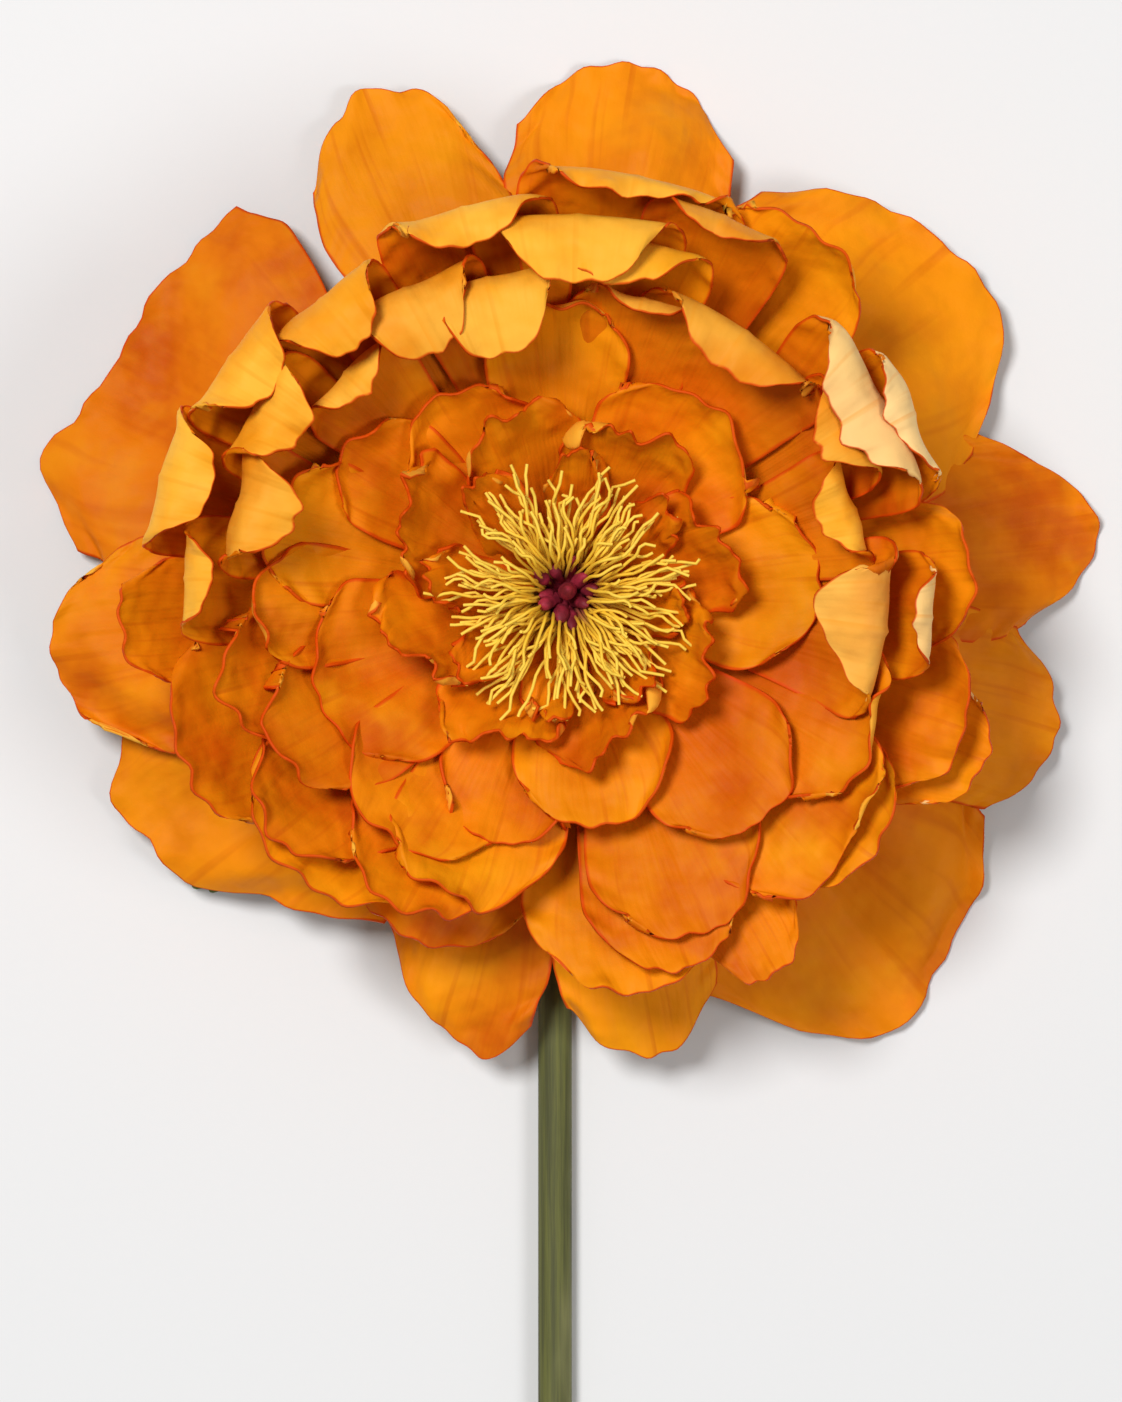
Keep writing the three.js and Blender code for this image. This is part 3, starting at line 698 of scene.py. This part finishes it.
def addReceptacle():
    # height and radius, from the neck up
    profile = [(13.9, 2.6), (14.1, 2.9), (14.8, 4.2), (16, 4.9), (18, 5.3),
               (26, 5.3), (30, 4.8), (34.2, 4.1), (34.6, 3.8)]
    path = [(0, 0, height) for height, radius in profile]
    radii = [radius for height, radius in profile]
    keep(plainObject("Receptacle", [tubeParts(path, radii, 32)], sepalGreen), "receptacle")


sepals = [
    dict(angle=20, width=16, shell=0, reach=2.2),
    dict(angle=92, width=16, shell=0, reach=2.2),
    dict(angle=164, width=16, shell=0, reach=2.4),
    dict(angle=218.5, width=20, shell=0, reach=7, tip=pointedTip),
    dict(angle=308, width=16, shell=0, reach=2.4),
]


def addCalyx():
    parts = [sheetParts(petalSurface(sepal, 800 + index)) for index, sepal in enumerate(sepals)]
    keep(sheetObject("Calyx", joinParts(parts), (sepalGreen, sepalGreen), 0.5, 0.0), "calyx")
    print("calyx ready")


addStem()
addReceptacle()
addCalyx()


tuft = dict(threads=230, footRadius=3.4, footHeight=35.2, rise=15.5, shortest=7, longest=21, thickness=0.31,
            sway=4.4, curl=4, seed=7)

tuftCounts = ("threads", "seed")
tuftSizes = ("footRadius", "rise", "shortest", "longest", "thickness", "sway", "curl")  # in mm


def inputSocket(tree, name, kind, value):
    made = tree.interface.new_socket(name=name, in_out="INPUT", socket_type=kind)
    made.default_value = value
    return made.identifier


class Geo:  # builds a geometry tree one node at a time
    def __init__(self, tree):
        self.tree = tree

    def node(self, kind, settings=None, sockets=None):
        made = self.tree.nodes.new(kind)
        for key, value in (settings or {}).items():
            setattr(made, key, value)
        for key, value in (sockets or {}).items():
            if isinstance(value, bpy.types.NodeSocket):
                self.tree.links.new(value, made.inputs[key])
            else:
                made.inputs[key].default_value = value
        return made

    def math(self, operation, first, second=0.0):
        return self.node("ShaderNodeMath", {"operation": operation}, {0: first, 1: second}).outputs[0]

    def combine(self, x, y, z):
        return self.node("ShaderNodeCombineXYZ", {}, {0: x, 1: y, 2: z}).outputs[0]

    def vector(self, operation, first, second):
        return self.node("ShaderNodeVectorMath", {"operation": operation}, {0: first, 1: second}).outputs[0]

    def random(self, low, high, seed):
        made = self.node("FunctionNodeRandomValue", {"data_type": "FLOAT"}, {"Seed": seed})
        made.inputs[2].default_value = low
        made.inputs[3].default_value = high
        return made.outputs[1]

    def store(self, geometry, name, value):
        return self.node("GeometryNodeStoreNamedAttribute", {"data_type": "FLOAT", "domain": "POINT"},
                         {"Geometry": geometry, "Name": name, "Value": value}).outputs[0]

    def stored(self, name):
        made = self.node("GeometryNodeInputNamedAttribute", {"data_type": "FLOAT"}, {"Name": name})
        return made.outputs[0]


def tuftTree():
    tree = bpy.data.node_groups.new("StamenTuft", "GeometryNodeTree")
    tree.interface.new_socket(name="Geometry", in_out="INPUT", socket_type="NodeSocketGeometry")
    tree.interface.new_socket(name="Geometry", in_out="OUTPUT", socket_type="NodeSocketGeometry")
    names = {}
    for key in tuftCounts:
        names[key] = inputSocket(tree, key, "NodeSocketInt", tuft[key])
    for key in tuftSizes:
        names[key] = inputSocket(tree, key, "NodeSocketFloat", tuft[key] * mm)
    geo = Geo(tree)
    given = geo.node("NodeGroupInput").outputs
    index = geo.node("GeometryNodeInputIndex").outputs[0]
    seed = given["seed"]

    # feet on a ring, turned by the golden angle so that no two threads start together
    turn = geo.math("MULTIPLY", index, math.pi * (3 - math.sqrt(5)))
    footOut = geo.math("MULTIPLY", geo.random(0.75, 1.35, 3), given["footRadius"])
    foot = geo.combine(geo.math("MULTIPLY", geo.math("COSINE", turn), footOut),
                       geo.math("MULTIPLY", geo.math("SINE", turn), footOut), 0.0)
    feet = geo.node("GeometryNodePoints", {}, {"Count": given["threads"], "Position": foot}).outputs[0]
    feet = geo.store(feet, "threadHue", geo.random(-1, 1, 11))
    feet = geo.store(feet, "threadOut", geo.random(0, 1, 12))
    lean = geo.random(-0.5, 0.5, 13)

    # one thread in unit size: up from the foot and over to its tip
    thread = geo.node("GeometryNodeCurvePrimitiveBezierSegment", {}, {
        "Start": (0, 0, 0), "Start Handle": (0.12, 0, 0.72),
        "End Handle": (0.5, 0, 0.95), "End": (1, 0, 0.9)}).outputs[0]
    thread = geo.node("GeometryNodeResampleCurve", {}, {"Curve": thread, "Count": 18}).outputs[0]
    run = geo.node("GeometryNodeSplineParameter").outputs["Factor"]
    thread = geo.store(thread, "threadRun", run)
    outShare = geo.stored("threadOut")
    reach = geo.math("ADD", given["shortest"], geo.math("MULTIPLY", geo.math("POWER", outShare, 0.7),
                     geo.math("SUBTRACT", given["longest"], given["shortest"])))
    height = geo.math("MULTIPLY", given["rise"], geo.math("SUBTRACT", geo.random(1.0, 1.25, 14),
                      geo.math("MULTIPLY", outShare, 0.28)))
    turned = geo.combine(0.0, 0.0, geo.math("ADD", turn, lean))
    threads = geo.node("GeometryNodeInstanceOnPoints", {}, {
        "Points": feet, "Instance": thread, "Rotation": turned,
        "Scale": geo.combine(reach, reach, height)}).outputs[0]
    threads = geo.node("GeometryNodeRealizeInstances", {}, {"Geometry": threads}).outputs[0]

    # sway along the run, and a tighter curl near the tip
    position = geo.node("GeometryNodeInputPosition").outputs[0]
    hue = geo.stored("threadHue")
    runHere = geo.stored("threadRun")
    for amount, scale, power in ((given["sway"], 70.0, 1.2), (given["curl"], 190.0, 2.5)):
        wave = geo.node("ShaderNodeTexNoise", {"noise_dimensions": "4D"}, {
            "Vector": position, "W": geo.math("MULTIPLY", hue, 9.0),
            "Scale": scale, "Detail": 0.0}).outputs["Color"]
        push = geo.vector("SUBTRACT", wave, (0.5, 0.5, 0.5))
        strength = geo.math("MULTIPLY", geo.math("POWER", runHere, power), geo.math("MULTIPLY", amount, 2.0))
        upward = geo.math("MULTIPLY", strength, 0.6)
        moved = geo.vector("MULTIPLY", push, geo.combine(strength, strength, upward))
        threads = geo.node("GeometryNodeSetPosition", {}, {"Geometry": threads, "Offset": moved}).outputs[0]

    section = geo.node("GeometryNodeCurvePrimitiveCircle", {}, {
        "Resolution": 6, "Radius": given["thickness"]}).outputs[0]
    tubes = geo.node("GeometryNodeCurveToMesh", {}, {
        "Curve": threads, "Profile Curve": section, "Fill Caps": True}).outputs[0]
    tubes = geo.node("GeometryNodeRealizeInstances", {}, {"Geometry": tubes}).outputs[0]
    tubes = geo.node("GeometryNodeSetMaterial", {}, {"Geometry": tubes, "Material": stamenYellow}).outputs[0]
    geo.node("NodeGroupOutput", {}, {0: tubes})
    return tree, names


def addStamens():
    tree, names = tuftTree()
    seedMesh = bpy.data.meshes.new("TuftSeed")
    seedThing = bpy.data.objects.new("TuftSeed", seedMesh)
    bpy.context.collection.objects.link(seedThing)
    modifier = seedThing.modifiers.new("Tuft", "NODES")
    modifier.node_group = tree
    for key in tuftCounts:
        modifier[names[key]] = tuft[key]
    for key in tuftSizes:
        modifier[names[key]] = tuft[key] * mm
    grown = seedThing.evaluated_get(bpy.context.evaluated_depsgraph_get())
    mesh = bpy.data.meshes.new_from_object(grown)
    bpy.data.objects.remove(seedThing)
    mesh.name = "Stamens"
    spots = np.zeros(len(mesh.vertices) * 3)
    mesh.vertices.foreach_get("co", spots)
    spots = spots.reshape(-1, 3)
    blush = np.clip(0.25 + spots[:, 0] / (5 * mm), 0, 1)
    mesh.attributes.new("threadBlush", "FLOAT", "POINT").data.foreach_set("value", blush.astype(np.float32))
    spots += (axisX, axisY, tuft["footHeight"] * mm)
    mesh.vertices.foreach_set("co", spots.ravel())
    mesh.shade_smooth()
    thing = bpy.data.objects.new("Stamens", mesh)
    bpy.context.collection.objects.link(thing)
    keep(thing, "stamens")
    print("stamens:", tuft["threads"], "threads")


addStamens()


cluster = dict(lobes=10, foot=35, height=11.5, lobeRadius=1.4, lean=5.2, seed=21)


def carpelLobe(angle, lean, height, radius, rng):
    path, radii = [], []
    for share in np.linspace(0, 1, 14):
        out = lean * share ** 0.8 + 0.5 * math.sin(share * 5 + rng.uniform(0, 1))
        path.append((out * math.cos(angle), out * math.sin(angle), cluster["foot"] + height * share))
        bulge = math.sqrt(max(0.0, 1 - (2 * share - 1) ** 4)) * (1 + 0.18 * math.sin(share * 9 + angle * 3))
        radii.append(max(0.05, radius * bulge))
    return tubeParts(path, radii, 14)


def addCarpels():
    rng = np.random.default_rng(cluster["seed"])
    parts = [carpelLobe(0.8, 1.2, cluster["height"] + 2.5, cluster["lobeRadius"], rng)]
    for index in range(cluster["lobes"]):
        angle = index / cluster["lobes"] * 2 * math.pi + rng.uniform(-0.2, 0.2)
        lean = cluster["lean"] * rng.uniform(0.7, 1.45)
        parts.append(carpelLobe(angle, lean, cluster["height"] * rng.uniform(0.8, 1.05),
                                cluster["lobeRadius"] * rng.uniform(0.8, 1.1), rng))
    keep(plainObject("Carpels", parts, carpelCrimson), "carpels")
    print("carpels ready")


addCarpels()


studio = dict(floorSize=6, floorGrey=0.77, keyPower=29, keySize=0.6, fillPower=7,
              worldGrey=0.9, worldStrength=0.26)


def addFloor():
    shader = Shader("Studio floor")
    place = shader.node("ShaderNodeTexCoord").outputs["Object"]
    grain = shader.noise(place, 600, 2)
    grey = studio["floorGrey"]
    colour = shader.mix(grain, (grey * 0.99,) * 3 + (1,), (grey,) * 3 + (1,))
    shader.set(colour=colour, roughness=0.9, specular=0.1)
    half = studio["floorSize"] / 2
    mesh = bpy.data.meshes.new("Floor")
    corners = [(-half, -half, 0), (half, -half, 0), (half, half, 0), (-half, half, 0)]
    mesh.from_pydata(corners, [], [(0, 1, 2, 3)])
    mesh.materials.append(shader.material)
    floor = bpy.data.objects.new("Floor", mesh)
    bpy.context.collection.objects.link(floor)


def addLight(name, place, size, power):
    lamp = bpy.data.lights.new(name, "AREA")
    lamp.shape = "DISK"
    lamp.size = size
    lamp.energy = power
    thing = bpy.data.objects.new(name, lamp)
    thing.location = place
    thing.rotation_euler = (Vector((axisX, axisY, 0.03)) - Vector(place)).to_track_quat("-Z", "Y").to_euler()
    bpy.context.collection.objects.link(thing)


def addWorld():
    world = bpy.data.worlds.new("Studio")
    world.use_nodes = True
    background = world.node_tree.nodes["Background"]
    background.inputs[0].default_value = (studio["worldGrey"],) * 3 + (1,)
    background.inputs[1].default_value = studio["worldStrength"]
    bpy.context.scene.world = world


view = dict(distance=1.6, height=0.014, frameHeight=0.265, offset=(-0.76, -20))


def addCamera():
    camera = bpy.data.cameras.new("Camera")
    camera.sensor_fit = "AUTO"
    camera.lens = camera.sensor_width * (view["distance"] - view["height"]) / view["frameHeight"]
    thing = bpy.data.objects.new("Camera", camera)
    thing.location = (axisX + view["offset"][0] * mm, axisY + view["offset"][1] * mm, view["distance"])
    bpy.context.collection.objects.link(thing)
    bpy.context.scene.camera = thing


addFloor()
addWorld()
addLight("KeyLight", (axisX - 0.6, axisY + 0.5, 1.75), studio["keySize"], studio["keyPower"])
addLight("FillLight", (axisX + 0.9, axisY - 0.3, 1.3), studio["keySize"], studio["fillPower"])
addCamera()
bpy.context.scene.view_settings.view_transform = "Standard"
print("stage ready")
